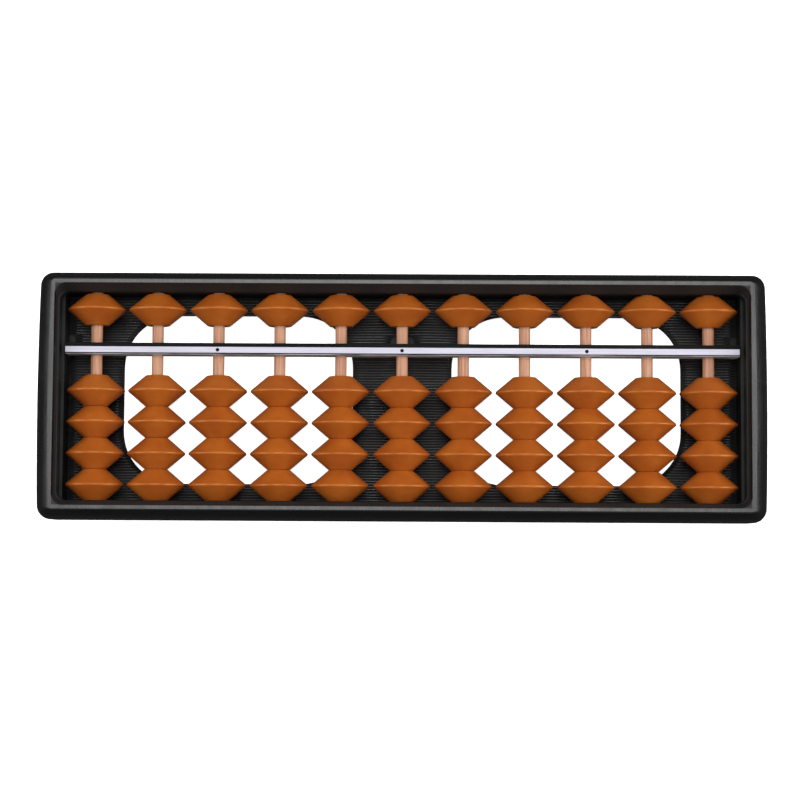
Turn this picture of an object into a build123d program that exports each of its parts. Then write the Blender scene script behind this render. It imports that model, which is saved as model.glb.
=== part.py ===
from build123d import *
import os

# Eleven-column soroban (one heaven bead and four earth beads on each rod), lying on its back.
# Millimetres. +X runs along the frame, +Y away from the user, +Z up.
# The origin is the middle of the underside.

CUT = 1.0                   # how far a cutter runs past the face that it cuts

# Rods
COLUMNS = 11
PITCH = 15.5
ROD_D = 2.9
ROD_Z = 9.0
ROD_END = 27.9              # half of a rod's length
ROD_SEAT_D = ROD_D + 0.06   # the half-round seats that grip a rod between tray and upper frame
ROD_SEAT_PLAY = 0.05        # between a rod's end and the end of its seat

# Beads: two cones base to base, with flat ends and a bore
BEAD_D = 15.1               # where the cones would meet; the rounding takes it to 14.6
BEAD_LENGTH = 7.88
BEAD_END_D = 5.8
BEAD_BORE_D = 3.4
EQUATOR_ROUND = 0.45
END_ROUND = 0.25
EARTH_BEADS = 4
STACK_GAP = 0.05            # between stacked beads, and between a bead and its stop
HEAVEN_GAP = 0.42           # between a raised heaven bead and the far wall
BEAD_STEP = BEAD_LENGTH + STACK_GAP

# Cavity that the beads move in
CAVITY_X = 85.7
CAVITY_NEAR = 26.6          # from the middle to the wall on the user's side
CAVITY_FAR = 26.1
CAVITY_MIDDLE = (CAVITY_FAR - CAVITY_NEAR) / 2
END_LEDGE = 0.77            # how far the upper frame stands back from the tray's wall, at the ends
END_LIP = 0.3               # flat lip where the ends of the opening start to flare

# Reckoning beam and its inlaid strip
BEAM_NEAR = 10.3
BEAM_FAR = 13.21
BEAM_MIDDLE = (BEAM_NEAR + BEAM_FAR) / 2
BEAM_HALF_LENGTH = 84.9
BEAM_BOTTOM = 6.4
BEAM_TOP = 12.35
BEAM_EDGE = 0.2
BEAM_HOLE_D = ROD_D + 0.1
INLAY_WIDTH = 1.52
INLAY_DEPTH = 0.5
INLAY_PROUD = 0.12
INLAY_SHIFT = -0.3          # the strip lies nearer the user than the beam's middle
INLAY_EDGE = 0.08
INLAY_PLAY = 0.01           # between the strip and each side of its groove

# The two shells meet at the rods' height, and grip the rods between them
SEAM = ROD_Z
SEAM_BEVEL = 0.15
LENGTH = 184.7
WIDTH = 62.8
TOP = 16.5
END_CROWN = 0.45            # how much the short sides bow outwards in plan
CORNER = 3.6
RIM_THICKNESS = 2.0         # inner wall that carries the rods
SKIN = 1.9                  # outer wall

# Base tray: a floor with two windows, and seats for the beam
FLOOR = 1.3
FOOT_CHAMFER = 0.4
WINDOW_INNER = 12.7
WINDOW_OUTER = 71.6
WINDOW_NEAR = -21.95
WINDOW_FAR = 21.4
WINDOW_CORNER = 13.5
PAD_WIDTH = 5.9
PAD_NEAR = 11.2
PAD_FAR = 16.0
PAD_TOP = 2.6
PAD_CORNER = 1.2
PAD_GROOVE = 0.28           # width of the groove round the middle pad
PAD_GROOVE_DEPTH = 0.5
END_PAD_REACH = 1.6
POST_INSET = 0.65           # the posts under the beam are this much narrower than it on each side

# Upper frame: its walls round inwards to a flat land, and the opening flares up to it
FRAME_STEP = 0.12           # how far its foot stands back from the tray's wall
END_LEAN = 4.0              # how far the land's edge stands back from the tray's wall, at the ends
SIDE_LEAN = 2.45            # the same along the long sides
LAND_CORNER = 0.9           # corner radius of the land's outer edge
DOME_SECTIONS = 6
TOP_ROUND = 0.4             # rounding of the land's outer edge
LAND_ROUND = 0.2            # rounding of its inner edge
END_LAND = 1.2              # width of the land at the ends
SIDE_LAND = 1.15            # the same along the long sides
SLOPE_FOOT = 13.0           # height where the opening starts to flare
OPENING_CORNER = 2.2
UNDERCUT_TOP = 13.5         # top of the hollow inside the upper frame


def columns():
    """X of each rod, from left to right."""
    middle = (COLUMNS - 1) / 2
    return [PITCH * (i - middle) for i in range(COLUMNS)]


def outline(height, half_x, half_y, corner):
    """Plan of the frame's outside at one height: straight long sides and bowed ends."""
    shoulder = half_x - END_CROWN
    edges = [
        Line((-shoulder, -half_y), (shoulder, -half_y)),
        ThreePointArc((shoulder, -half_y), (half_x, 0), (shoulder, half_y)),
        Line((shoulder, half_y), (-shoulder, half_y)),
        ThreePointArc((-shoulder, half_y), (-half_x, 0), (-shoulder, -half_y)),
    ]
    face = make_face(edges)
    return Pos(0, 0, height) * fillet(face.vertices(), corner)


def arc_inset(lean, rise):
    """Inset at a given rise above the seam, on an arc that starts upright and ends at the land."""
    full_rise = TOP - SEAM
    radius = (lean ** 2 + full_rise ** 2) / (2 * lean)
    return radius - (radius ** 2 - rise ** 2) ** 0.5


def dome_section(rise):
    """The upper frame's plan at a given rise above the seam."""
    end = FRAME_STEP + arc_inset(END_LEAN - FRAME_STEP, rise)
    side = FRAME_STEP + arc_inset(SIDE_LEAN - FRAME_STEP, rise)
    corner = CORNER - (CORNER - LAND_CORNER) * side / SIDE_LEAN
    return outline(SEAM + rise, LENGTH / 2 - end, WIDTH / 2 - side, corner)


def domed_block():
    """The upper frame's outside, as one solid block."""
    full_rise = TOP - SEAM
    rises = [full_rise * i / (DOME_SECTIONS - 1) for i in range(DOME_SECTIONS)]
    dome = loft([dome_section(rise) for rise in rises])
    rim = dome.faces().sort_by(Axis.Z)[-1].outer_wire().edges()
    return fillet(rim, TOP_ROUND)


def tray_block():
    """The tray's outside, as one solid block with upright walls."""
    solid = extrude(outline(0, LENGTH / 2, WIDTH / 2, CORNER), SEAM)
    solid = chamfer(solid.faces().sort_by(Axis.Z)[0].outer_wire().edges(), FOOT_CHAMFER)
    return chamfer(solid.faces().sort_by(Axis.Z)[-1].outer_wire().edges(), SEAM_BEVEL)


def wall_hollow(low, high, outer_x, outer_y):
    """Ring-shaped space between the outer wall and the rim that carries the rods."""
    rim_x = CAVITY_X + RIM_THICKNESS
    rim_near = -CAVITY_NEAR - RIM_THICKNESS
    rim_far = CAVITY_FAR + RIM_THICKNESS
    outer = block((-outer_x, -outer_y, low), (outer_x, outer_y, high))
    return outer - block((-rim_x, rim_near, low), (rim_x, rim_far, high))


def rounded(half_x, half_y, corner, height):
    """Plain rounded rectangle at one height."""
    return Pos(0, 0, height) * RectangleRounded(2 * half_x, 2 * half_y, corner)


def block(low, high):
    """Box between two opposite corners."""
    size = [b - a for a, b in zip(low, high)]
    middle = [(a + b) / 2 for a, b in zip(low, high)]
    return Pos(*middle) * Box(*size)


def along_y(diameter, start, end, x):
    """Cylinder on a rod's axis, from y = start to y = end."""
    spot = Pos(x, (start + end) / 2, ROD_Z)
    return spot * Rot(X=90) * Cylinder(diameter / 2, end - start)


def rod_seats():
    """Half-round seats, cut from both shells at once."""
    reach = ROD_END + ROD_SEAT_PLAY
    return [along_y(ROD_SEAT_D, -reach, reach, x) for x in columns()]


def windows():
    """Two rounded windows through the floor, mirrored about the middle strip."""
    width = WINDOW_OUTER - WINDOW_INNER
    depth = WINDOW_FAR - WINDOW_NEAR
    x = (WINDOW_OUTER + WINDOW_INNER) / 2
    y = (WINDOW_FAR + WINDOW_NEAR) / 2
    cutter = extrude(RectangleRounded(width, depth, WINDOW_CORNER), FLOOR + 2 * CUT)
    return [Pos(side * x, y, -CUT) * cutter for side in (-1, 1)]


def pad_groove():
    """Groove round the middle pad, as wide as the pad until the pad fills it."""
    width = PAD_WIDTH + 2 * PAD_GROOVE
    depth = PAD_FAR - PAD_NEAR + 2 * PAD_GROOVE
    cutter = extrude(RectangleRounded(width, depth, PAD_CORNER + PAD_GROOVE), PAD_GROOVE_DEPTH)
    return Pos(0, (PAD_NEAR + PAD_FAR) / 2, FLOOR - PAD_GROOVE_DEPTH) * cutter


def beam_seats():
    """Low pads with rounded corners, and the narrow posts on them that carry the beam."""
    near = BEAM_NEAR + POST_INSET
    far = BEAM_FAR - POST_INSET
    foot = FLOOR - PAD_GROOVE_DEPTH
    pad_depth = PAD_FAR - PAD_NEAR
    end_width = 2 * END_PAD_REACH
    places = [(0, PAD_WIDTH), (-CAVITY_X, end_width), (CAVITY_X, end_width)]
    seats = []
    for x, width in places:
        pad = extrude(RectangleRounded(width, pad_depth, PAD_CORNER), PAD_TOP - foot)
        seats.append(Pos(x, PAD_FAR - pad_depth / 2, foot) * pad)
        seats.append(block((x - width / 2, near, FLOOR), (x + width / 2, far, BEAM_BOTTOM)))
    return seats


def base_tray():
    cavity = block((-CAVITY_X, -CAVITY_NEAR, FLOOR), (CAVITY_X, CAVITY_FAR, SEAM + CUT))
    hollow = wall_hollow(FLOOR, SEAM + CUT, LENGTH / 2 - END_CROWN - SKIN, WIDTH / 2 - SKIN)
    tray = (tray_block() - cavity - pad_groove() + beam_seats()) - hollow
    return tray - windows() - rod_seats()


def upper_frame():
    opening_x = CAVITY_X + END_LEDGE
    opening_y = (CAVITY_NEAR + CAVITY_FAR) / 2
    land_x = LENGTH / 2 - END_LEAN - END_LAND
    land_y = WIDTH / 2 - SIDE_LEAN - SIDE_LAND
    flare_corner = OPENING_CORNER + land_x - opening_x
    well = rounded(opening_x, opening_y, OPENING_CORNER, SEAM)
    opening = Pos(0, CAVITY_MIDDLE, 0) * extrude(well, SLOPE_FOOT - SEAM)
    flare = loft([
        Pos(0, CAVITY_MIDDLE, 0) * rounded(opening_x + END_LIP, opening_y, OPENING_CORNER, SLOPE_FOOT),
        rounded(land_x, land_y, flare_corner, TOP),
    ])
    hollow = wall_hollow(SEAM, UNDERCUT_TOP, LENGTH / 2 - END_LEAN, WIDTH / 2 - SIDE_LEAN)
    rim = domed_block() - opening - flare
    land = rim.faces().sort_by(Axis.Z)[-1]
    rim = fillet(land.inner_wires()[0].edges(), LAND_ROUND)
    return rim - hollow - rod_seats()


def beam():
    bar = block(
        (-BEAM_HALF_LENGTH, BEAM_NEAR, BEAM_BOTTOM),
        (BEAM_HALF_LENGTH, BEAM_FAR, BEAM_TOP),
    )
    bar = fillet(bar.edges().filter_by(Axis.X).group_by(Axis.Z)[-1], BEAM_EDGE)
    groove_y = BEAM_MIDDLE + INLAY_SHIFT
    groove = block(
        (-BEAM_HALF_LENGTH - CUT, groove_y - INLAY_WIDTH / 2, BEAM_TOP - INLAY_DEPTH),
        (BEAM_HALF_LENGTH + CUT, groove_y + INLAY_WIDTH / 2, BEAM_TOP + CUT),
    )
    holes = [along_y(BEAM_HOLE_D, BEAM_NEAR - CUT, BEAM_FAR + CUT, x) for x in columns()]
    return bar - groove - holes


def beam_inlay():
    y = BEAM_MIDDLE + INLAY_SHIFT
    half = INLAY_WIDTH / 2 - INLAY_PLAY
    strip = block(
        (-BEAM_HALF_LENGTH, y - half, BEAM_TOP - INLAY_DEPTH),
        (BEAM_HALF_LENGTH, y + half, BEAM_TOP + INLAY_PROUD),
    )
    return fillet(strip.edges().filter_by(Axis.X).group_by(Axis.Z)[-1], INLAY_EDGE)


def rods():
    return Compound(children=[along_y(ROD_D, -ROD_END, ROD_END, x) for x in columns()])


def bead():
    """One bead with its axis along Y and its middle at the origin, at the rods' height."""
    half = BEAD_LENGTH / 2
    bore = BEAD_BORE_D / 2
    end = BEAD_END_D / 2
    section = make_face(Polyline(
        (bore, -half), (end, -half), (BEAD_D / 2, 0), (end, half), (bore, half), close=True,
    ))
    corners = section.vertices().group_by(Axis.X)
    section = fillet(corners[-1], EQUATOR_ROUND)
    end_corners = [v for v in section.vertices() if abs(v.X - end) < 1e-6]
    section = fillet(end_corners, END_ROUND)
    return Pos(0, 0, ROD_Z) * revolve(section, Axis.Y)


def bead_places():
    """Node name and place of every bead, with the heaven beads up and the earth beads down."""
    heaven_y = CAVITY_FAR - HEAVEN_GAP - BEAD_LENGTH / 2
    lowest_y = -CAVITY_NEAR + STACK_GAP + BEAD_LENGTH / 2
    places = []
    for column, x in enumerate(columns(), start=1):
        places.append((f"heaven_bead_{column:02d}", x, heaven_y))
        for place in range(1, EARTH_BEADS + 1):
            below = EARTH_BEADS - place
            y = lowest_y + BEAD_STEP * below
            places.append((f"earth_bead_{column:02d}_{place}", x, y))
    return places


def main():
    os.makedirs("parts", exist_ok=True)
    nodes = {
        "base_tray": base_tray(),
        "upper_frame": upper_frame(),
        "beam": beam(),
        "beam_inlay": beam_inlay(),
        "rods": rods(),
    }
    pattern = bead()
    for name, x, y in bead_places():
        nodes[name] = Pos(x, y, 0) * pattern
    for name, shape in nodes.items():
        export_step(shape, f"parts/{name}.step")
    heaven_travel = CAVITY_FAR - HEAVEN_GAP - BEAD_LENGTH - BEAM_FAR - STACK_GAP
    stack_top = -CAVITY_NEAR + EARTH_BEADS * BEAD_STEP
    earth_travel = BEAM_NEAR - STACK_GAP - stack_top
    print(f"heaven travel {heaven_travel:.3f}, earth travel {earth_travel:.3f}")


main()
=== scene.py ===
"""Looks of an eleven-column soroban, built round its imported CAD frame. Metres, +Z up, lying on its back."""

import math

import bpy
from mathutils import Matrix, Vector, noise


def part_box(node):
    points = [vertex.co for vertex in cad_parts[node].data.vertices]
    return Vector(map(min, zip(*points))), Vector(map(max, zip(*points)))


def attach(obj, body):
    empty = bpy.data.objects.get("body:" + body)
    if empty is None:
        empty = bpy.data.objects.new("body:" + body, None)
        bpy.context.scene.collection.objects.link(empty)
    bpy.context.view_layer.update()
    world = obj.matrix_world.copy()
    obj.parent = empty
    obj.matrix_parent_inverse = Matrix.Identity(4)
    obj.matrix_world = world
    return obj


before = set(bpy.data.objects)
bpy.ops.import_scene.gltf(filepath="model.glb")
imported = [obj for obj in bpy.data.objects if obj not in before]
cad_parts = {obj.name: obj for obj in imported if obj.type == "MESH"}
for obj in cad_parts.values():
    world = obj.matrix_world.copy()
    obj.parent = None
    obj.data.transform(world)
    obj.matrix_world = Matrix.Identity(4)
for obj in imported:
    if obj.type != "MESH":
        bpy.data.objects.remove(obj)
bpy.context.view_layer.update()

MM = 0.001
BODY = "frame"

# Places read from the frame
inlay_low, inlay_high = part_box("beam_inlay")
BEAM_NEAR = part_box("beam")[0].y

# What the frame doesn't say: the tray's floor, its cavity and its windows, as in the CAD
FLOOR_TOP = 1.3 * MM
CAVITY_X = 85.7 * MM
CAVITY_Y = (-26.6 * MM, 26.1 * MM)
WINDOW_X = (12.7 * MM, 71.6 * MM)
WINDOW_Y = (-21.95 * MM, 21.4 * MM)
WINDOW_CORNER = 13.5 * MM
PAD_Y = (11.2 * MM, 16.0 * MM)
MIDDLE_PAD = 2.95 * MM
END_PAD = 84.1 * MM
PAD_GROOVE = 0.28 * MM
PITCH = 15.5 * MM
KNIT_LINE_Y = 4.0 * MM

# Inside this the plastic is duller, and its colour is darkened as painted shade: the cavity and the flare, up
# to the polished rim
DULL_AND_SHADE_X = 87.0 * MM
DULL_AND_SHADE_Y = 27.8 * MM

# Moulded ridges on the floor
RIDGE_PITCH = 0.7 * MM
RIDGE_WIDTH = 0.42 * MM
RIDGE_HEIGHT = 0.2 * MM
RIDGE_MARGIN = 0.25 * MM
RIDGE_STEP = 1.6 * MM
RIDGE_ARC_STEPS = 6
RIDGE_SUNK = 0.02 * MM
RIDGE_SWAY = 0.16 * MM
RIDGE_END_HEIGHT = 0.35

# Place dots on the beam
DOT_COLUMNS = (-3, 0, 3)
DOT_RADIUS = 0.46 * MM
DOT_PROUD = 0.012 * MM
DOT_SIDES = 40


# ---------------------------------------------------------------- materials

def linear(r, g, b):
    """Screen colour, 0 to 255, as the linear colour that a shader takes."""
    def one(c):
        c /= 255
        return c / 12.92 if c <= 0.04045 else ((c + 0.055) / 1.055) ** 2.4
    return (one(r), one(g), one(b), 1.0)


class Nodes:
    """Short ways to add and join shader nodes in one material."""

    def __init__(self, name):
        self.material = bpy.data.materials.new(name)
        self.material.use_nodes = True
        self.tree = self.material.node_tree
        self.shader = self.tree.nodes["Principled BSDF"]
        self.place = self.tree.nodes.new("ShaderNodeTexCoord").outputs["Object"]

    def add(self, kind, inputs=None, **settings):
        node = self.tree.nodes.new(kind)
        for key, value in settings.items():
            setattr(node, key, value)
        for key, value in (inputs or {}).items():
            self.put(node.inputs[key], value)
        return node

    def put(self, socket, value):
        if isinstance(value, bpy.types.NodeSocket):
            self.tree.links.new(value, socket)
        else:
            socket.default_value = value

    def set(self, **values):
        for key, value in values.items():
            self.put(self.shader.inputs[key.replace("_", " ")], value)

    def stretched(self, scale):
        return self.add("ShaderNodeMapping", {"Vector": self.place, "Scale": scale}).outputs[0]

    def noise(self, scale, detail=3.0, roughness=0.5, vector=None, distortion=0.0):
        node = self.add("ShaderNodeTexNoise", {
            "Vector": vector or self.place, "Scale": scale, "Detail": detail,
            "Roughness": roughness, "Distortion": distortion,
        })
        return node.outputs[0]

    def span(self, value, low, high, to_low, to_high):
        return self.add("ShaderNodeMapRange", {
            "Value": value, "From Min": low, "From Max": high, "To Min": to_low, "To Max": to_high,
        }).outputs[0]

    def math(self, operation, a, b=0.0):
        return self.add("ShaderNodeMath", {0: a, 1: b}, operation=operation).outputs[0]

    def blend(self, factor, a, b):
        node = self.add("ShaderNodeMix", data_type="RGBA")
        self.put(node.inputs[0], factor)
        self.put(node.inputs[6], a)
        self.put(node.inputs[7], b)
        return node.outputs[2]

    def bump(self, height, distance, strength=1.0, under=None):
        inputs = {"Height": height, "Distance": distance, "Strength": strength}
        if under is not None:
            inputs["Normal"] = under
        return self.add("ShaderNodeBump", inputs).outputs[0]


def inside_cavity(n, x, y):
    """One within the walls of the cavity and the flare above it, and nought on the rim and outside."""
    past_end = n.math("SUBTRACT", n.math("ABSOLUTE", x), DULL_AND_SHADE_X)
    past_side = n.math("SUBTRACT", n.math("ABSOLUTE", y), DULL_AND_SHADE_Y)
    past = n.math("MAXIMUM", past_end, past_side)
    return n.span(past, -0.1 * MM, 0.1 * MM, 1, 0)


def black_plastic():
    """Satin black moulding: cloudy tone, uneven gloss, grain and scuffs, duller inside and on the floor; its
    colour is darkened inside as painted shade, and the knit line is paler as a painted highlight.
    """
    n = Nodes("frame_plastic")
    x, y, z = n.add("ShaderNodeSeparateXYZ", {"Vector": n.place}).outputs
    cloud = n.noise(90, 4)
    tone = n.span(cloud, 0.3, 0.7, 0, 1)
    colour = n.blend(tone, linear(13, 12, 12), linear(20, 18, 19))
    scuff = n.noise(420, 5, 0.65, n.stretched((1, 0.12, 1)))
    polished = n.span(scuff, 0.35, 0.75, 0.24, 0.36)
    walls = n.span(scuff, 0.35, 0.75, 0.66, 0.78)
    low = n.span(z, FLOOR_TOP + 0.3 * MM, FLOOR_TOP + 1.5 * MM, 0.15, 0)
    dull = n.math("ADD", walls, low)
    inside = inside_cavity(n, x, y)
    gloss = n.math("ADD", polished, n.math("MULTIPLY", inside, n.math("SUBTRACT", dull, polished)))
    # Painted shade: the colour inside the cavity and flare is darkened where shade falls
    colour = n.blend(inside, colour, linear(5, 5, 5))
    grain = n.bump(n.noise(5200, 2), 0.01 * MM, 0.35)
    waves = n.bump(n.noise(260, 2), 0.03 * MM, 0.25, grain)
    off = n.math("ABSOLUTE", n.math("SUBTRACT", y, KNIT_LINE_Y))
    knit_seam_and_glint = n.span(off, 0.02 * MM, 0.09 * MM, 1, 0)
    # Along the knit seam the colour is paler: a painted highlight where the seam catches light; the seam
    # itself is the bump below
    colour = n.blend(n.math("MULTIPLY", knit_seam_and_glint, 0.5), colour, linear(60, 58, 58))
    waves = n.bump(knit_seam_and_glint, 0.02 * MM, 0.6, waves)
    n.set(Base_Color=colour, Roughness=gloss, Normal=waves, Specular_IOR_Level=0.5)
    return n.material


def ridge_plastic():
    """The same plastic on the floor's ridges, glossier in patches where the tool was smooth."""
    n = Nodes("ridge_plastic")
    patch = n.noise(110, 2)
    gloss = n.span(patch, 0.35, 0.65, 0.24, 0.46)
    colour = n.blend(n.noise(800, 3), linear(14, 14, 14), linear(34, 33, 33))
    grain = n.bump(n.noise(3200, 2), 0.02 * MM, 0.4)
    n.set(Base_Color=colour, Roughness=gloss, Normal=grain)
    return n.material


def bead_plastic():
    """Brown bead plastic: slight swirls of paler and redder colour, satin with a fine grain."""
    n = Nodes("bead_plastic")
    cloud = n.span(n.noise(140, 2, 0.5), 0.32, 0.68, 0, 1)
    swirl = n.span(n.noise(220, 2, 0.5, n.stretched((1, 2.4, 1)), 0.3), 0.35, 0.75, 0, 1)
    colour = n.blend(cloud, linear(149, 74, 21), linear(165, 89, 28))
    colour = n.blend(n.math("MULTIPLY", swirl, 0.3), colour, linear(148, 65, 19))
    gloss = n.span(n.noise(300, 2), 0.3, 0.7, 0.28, 0.36)
    grain = n.bump(n.noise(6500, 2), 0.006 * MM, 0.3)
    waves = n.bump(n.noise(500, 2), 0.03 * MM, 0.3, grain)
    n.set(Base_Color=colour, Roughness=gloss, Normal=waves, Specular_IOR_Level=0.5,
          Specular_Tint=(1, 0.88, 0.52, 1),
          Subsurface_Weight=0.15, Subsurface_Scale=0.8 * MM, Subsurface_Radius=(1.0, 0.5, 0.2))
    return n.material


def bamboo():
    """Pale pinkish bamboo: fine fibres along the rod and slow changes of tone."""
    n = Nodes("rod_bamboo")
    fibre = n.noise(2600, 4, 0.6, n.stretched((1, 0.03, 1)))
    band = n.noise(900, 3, 0.5, n.stretched((1, 0.05, 1)))
    tone = n.noise(60, 2)
    colour = n.blend(n.span(fibre, 0.35, 0.65, 0, 1), linear(144, 97, 71), linear(190, 140, 110))
    colour = n.blend(n.span(band, 0.5, 0.72, 0, 0.5), colour, linear(150, 96, 70))
    colour = n.blend(n.span(tone, 0.4, 0.7, 0, 0.35), colour, linear(180, 139, 107))
    gloss = n.span(fibre, 0.3, 0.7, 0.4, 0.55)
    bump = n.bump(fibre, 0.03 * MM, 0.5)
    n.set(Base_Color=colour, Roughness=gloss, Normal=bump, Specular_IOR_Level=0.4)
    return n.material


def inlay_plastic():
    """Pale strip with a hint of lilac and faint lengthwise drawing lines."""
    n = Nodes("inlay_plastic")
    drawn = n.noise(1800, 3, 0.6, n.stretched((0.02, 1, 1)))
    colour = n.blend(n.span(drawn, 0.35, 0.65, 0, 1), linear(169, 167, 181), linear(185, 184, 198))
    cloud = n.noise(160, 3)
    colour = n.blend(n.span(cloud, 0.5, 0.75, 0, 0.35), colour, linear(167, 165, 177))
    gloss = n.span(cloud, 0.3, 0.7, 0.35, 0.5)
    n.set(Base_Color=colour, Roughness=gloss, Normal=n.bump(drawn, 0.01 * MM, 0.4))
    return n.material


def beam_plastic():
    """Black plastic of the beam: dull on top, with pale streaks of painted sheen along its near face,
    standing in for light glinting off it.
    """
    n = Nodes("beam_plastic")
    streak = n.noise(900, 4, 0.65, n.stretched((0.06, 1, 1)))
    y = n.add("ShaderNodeSeparateXYZ", {"Vector": n.place}).outputs[1]
    near_face = n.span(y, BEAM_NEAR + 0.03 * MM, BEAM_NEAR + 0.2 * MM, 1, 0)
    # Painted highlight: pale streaky colour on the near face stands in for light glinting along it
    painted_sheen = n.math("MULTIPLY", n.span(streak, 0.4, 0.62, 0.15, 1), near_face)
    colour = n.blend(painted_sheen, linear(5, 5, 5), linear(205, 208, 214))
    gloss = n.span(streak, 0.35, 0.7, 0.78, 0.95)
    bump = n.bump(streak, 0.02 * MM, 0.5)
    n.set(Base_Color=colour, Roughness=gloss, Normal=bump, Specular_IOR_Level=0.2)
    return n.material


def dot_ink():
    n = Nodes("dot_ink")
    speck = n.noise(9000, 2)
    colour = n.blend(speck, linear(3, 3, 5), linear(9, 9, 12))
    n.set(Base_Color=colour, Roughness=0.7, Specular_IOR_Level=0.1)
    return n.material


def give(obj, material):
    obj.data.materials.clear()
    obj.data.materials.append(material)


# ---------------------------------------------------------------- pieces that the CAD leaves out

def new_piece(name, vertices, faces, material):
    mesh = bpy.data.meshes.new(name)
    mesh.from_pydata(vertices, [], faces)
    mesh.update()
    obj = bpy.data.objects.new(name, mesh)
    bpy.context.scene.collection.objects.link(obj)
    mesh.materials.append(material)
    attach(obj, BODY)
    return obj


def window_reach(y):
    """X where the right window starts and ends at this y, or None beside the window."""
    low, high = WINDOW_Y
    if y <= low or y >= high:
        return None
    to_edge = min(y - low, high - y)
    cut = 0.0
    if to_edge < WINDOW_CORNER:
        cut = WINDOW_CORNER - math.sqrt(WINDOW_CORNER ** 2 - (WINDOW_CORNER - to_edge) ** 2)
    return WINDOW_X[0] + cut, WINDOW_X[1] - cut


def ridge_spans(y):
    """Stretches of floor at this y that a ridge can run along, clear of walls, pads and windows."""
    middle, end = 0.0, CAVITY_X - RIDGE_MARGIN
    clear = PAD_GROOVE + RIDGE_MARGIN
    if PAD_Y[0] - clear < y < PAD_Y[1] + clear:
        middle, end = MIDDLE_PAD + clear, END_PAD - RIDGE_MARGIN
    reach = window_reach(y)
    if reach is None:
        right = [(middle, end)]
    else:
        right = [(middle, reach[0] - RIDGE_MARGIN), (reach[1] + RIDGE_MARGIN, end)]
    if middle:
        return [(-b, -a) for a, b in right] + right
    return [(-right[0][1], right[0][1])] + [(-b, -a) for a, b in right[1:]] + right[1:]


def floor_ridges(material):
    """Fine rounded ridges along the floor, slightly wavy, ending short of the windows."""
    section = []
    for i in range(RIDGE_ARC_STEPS + 1):
        angle = math.pi * i / RIDGE_ARC_STEPS
        section.append((-math.cos(angle) * RIDGE_WIDTH / 2, math.sin(angle) * RIDGE_HEIGHT))
    vertices, faces = [], []
    start = CAVITY_Y[0] + RIDGE_MARGIN + RIDGE_WIDTH
    count = int((CAVITY_Y[1] - RIDGE_MARGIN - RIDGE_WIDTH - start) / RIDGE_PITCH)
    for k in range(count + 1):
        y = start + k * RIDGE_PITCH
        for x_from, x_to in ridge_spans(y):
            steps = max(2, round((x_to - x_from) / RIDGE_STEP))
            first = len(vertices)
            for i in range(steps + 1):
                x = x_from + (x_to - x_from) * i / steps
                sway = noise.noise(Vector((x * 60, y * 25, 3.1))) * RIDGE_SWAY
                lift = 0.75 + 0.25 * noise.noise(Vector((x * 200, y * 900, 8.7)))
                taper = RIDGE_END_HEIGHT if i in (0, steps) else 1.0
                for across, up in section:
                    z = FLOOR_TOP - RIDGE_SUNK + up * lift * taper
                    vertices.append((x, y + sway + across * (0.7 + 0.3 * taper), z))
            n = len(section)
            for i in range(steps):
                for j in range(n):
                    a = first + i * n + j
                    b = first + i * n + (j + 1) % n
                    faces.append((a, a + n, b + n, b))
            faces.append(tuple(first + j for j in range(n)))
            last = first + steps * n
            faces.append(tuple(last + j for j in reversed(range(n))))
    obj = new_piece("floor_ridges", vertices, faces, material)
    obj.data.shade_smooth()


def place_dot(index, column, material):
    """One round place dot printed on the strip."""
    x = column * PITCH
    y = (inlay_low.y + inlay_high.y) / 2
    top = inlay_high.z + DOT_PROUD
    sides = DOT_SIDES
    ring = [2 * math.pi * i / sides for i in range(sides)]
    vertices = [(x + DOT_RADIUS * math.cos(a), y + DOT_RADIUS * math.sin(a), z)
                for z in (inlay_high.z - DOT_PROUD, top) for a in ring]
    faces = [tuple(reversed(range(sides))), tuple(range(sides, 2 * sides))]
    faces += [(i, (i + 1) % sides, sides + (i + 1) % sides, sides + i) for i in range(sides)]
    new_piece(f"place_dot_{index}", vertices, faces, material)


# ---------------------------------------------------------------- put together

frame_black = black_plastic()
bead_brown = bead_plastic()
looks = {
    "base_tray": frame_black,
    "upper_frame": frame_black,
    "beam": beam_plastic(),
    "beam_inlay": inlay_plastic(),
    "rods": bamboo(),
}
for node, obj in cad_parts.items():
    give(obj, looks.get(node, bead_brown))

floor_ridges(ridge_plastic())
ink = dot_ink()
for index, column in enumerate(DOT_COLUMNS, start=1):
    place_dot(index, column, ink)


# ---------------------------------------------------------------- stage, lights and camera

TABLE_SIZE = 12.0
TABLE_Z = -0.05 * MM


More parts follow.
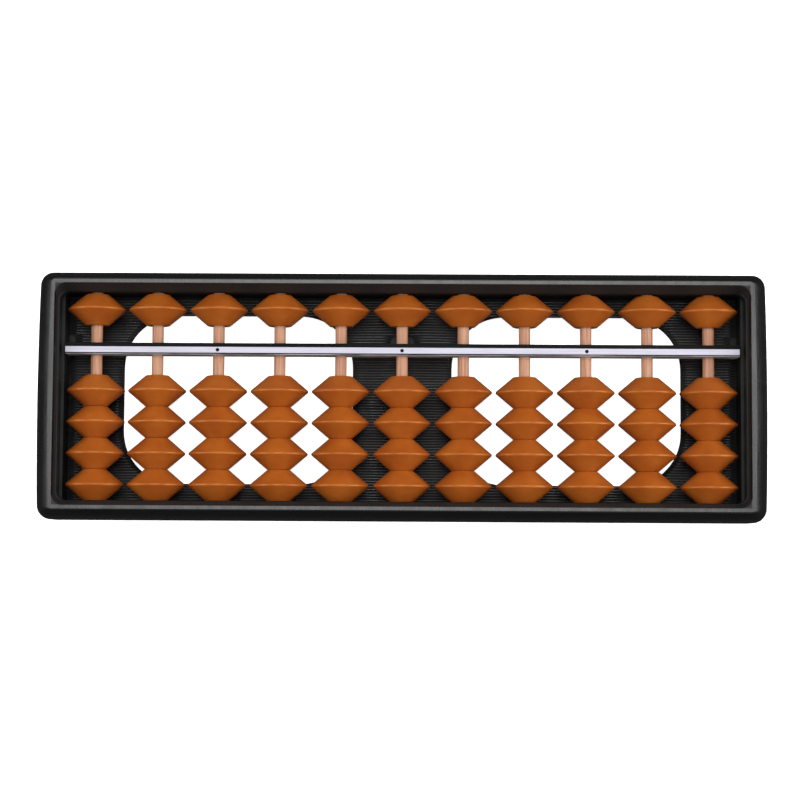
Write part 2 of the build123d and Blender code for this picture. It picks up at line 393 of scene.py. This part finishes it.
def table():
    """Pale floor under the abacus, lit a little from within like a light table."""
    bpy.ops.mesh.primitive_plane_add(size=TABLE_SIZE, location=(0, 0, TABLE_Z))
    obj = bpy.context.object
    obj.name = "table"
    n = Nodes("table")
    n.set(Base_Color=(0.92, 0.92, 0.92, 1), Roughness=0.9,
          Emission_Color=(1, 1, 1, 1), Emission_Strength=0.85)
    obj.data.materials.append(n.material)
    obj.visible_glossy = False
    obj.visible_diffuse = False


def soft_light(name, place, target, size, power):
    data = bpy.data.lights.new(name, "AREA")
    data.shape = "RECTANGLE"
    data.size, data.size_y = size
    data.energy = power
    obj = bpy.data.objects.new(name, data)
    bpy.context.scene.collection.objects.link(obj)
    obj.location = place
    obj.rotation_euler = (Vector(target) - Vector(place)).to_track_quat("-Z", "Y").to_euler()


def studio():
    table()
    soft_light("overhead", (0.0, 0.2, 0.95), (0, 0.02, 0), (0.62, 0.6), 6.8)
    soft_light("left", (-0.75, 0.0, 0.42), (0, 0, 0.01), (0.8, 0.7), 5.8)
    soft_light("right", (0.75, 0.0, 0.42), (0, 0, 0.01), (0.8, 0.7), 8.4)
    soft_light("near", (0.0, -0.8, 0.42), (0, 0, 0.01), (0.8, 0.5), 0.7)
    soft_light("far", (0.0, 0.85, 0.42), (0, 0, 0.01), (0.8, 0.5), 1.3)
    world = bpy.data.worlds.new("studio")
    world.use_nodes = True
    world.node_tree.nodes["Background"].inputs[0].default_value = (1, 1, 1, 1)
    world.node_tree.nodes["Background"].inputs[1].default_value = 0.04
    bpy.context.scene.world = world
    bpy.context.scene.view_settings.view_transform = "Standard"


def camera():
    data = bpy.data.cameras.new("camera")
    data.sensor_width = 36
    data.lens = 87.58
    data.clip_start = 0.01
    obj = bpy.data.objects.new("camera", data)
    bpy.context.scene.collection.objects.link(obj)
    obj.location = (3.6 * MM, -38.66 * MM, 500 * MM)
    obj.rotation_euler = [math.radians(angle) for angle in (4.418, 0.449, 0.331)]
    bpy.context.scene.camera = obj


studio()
camera()
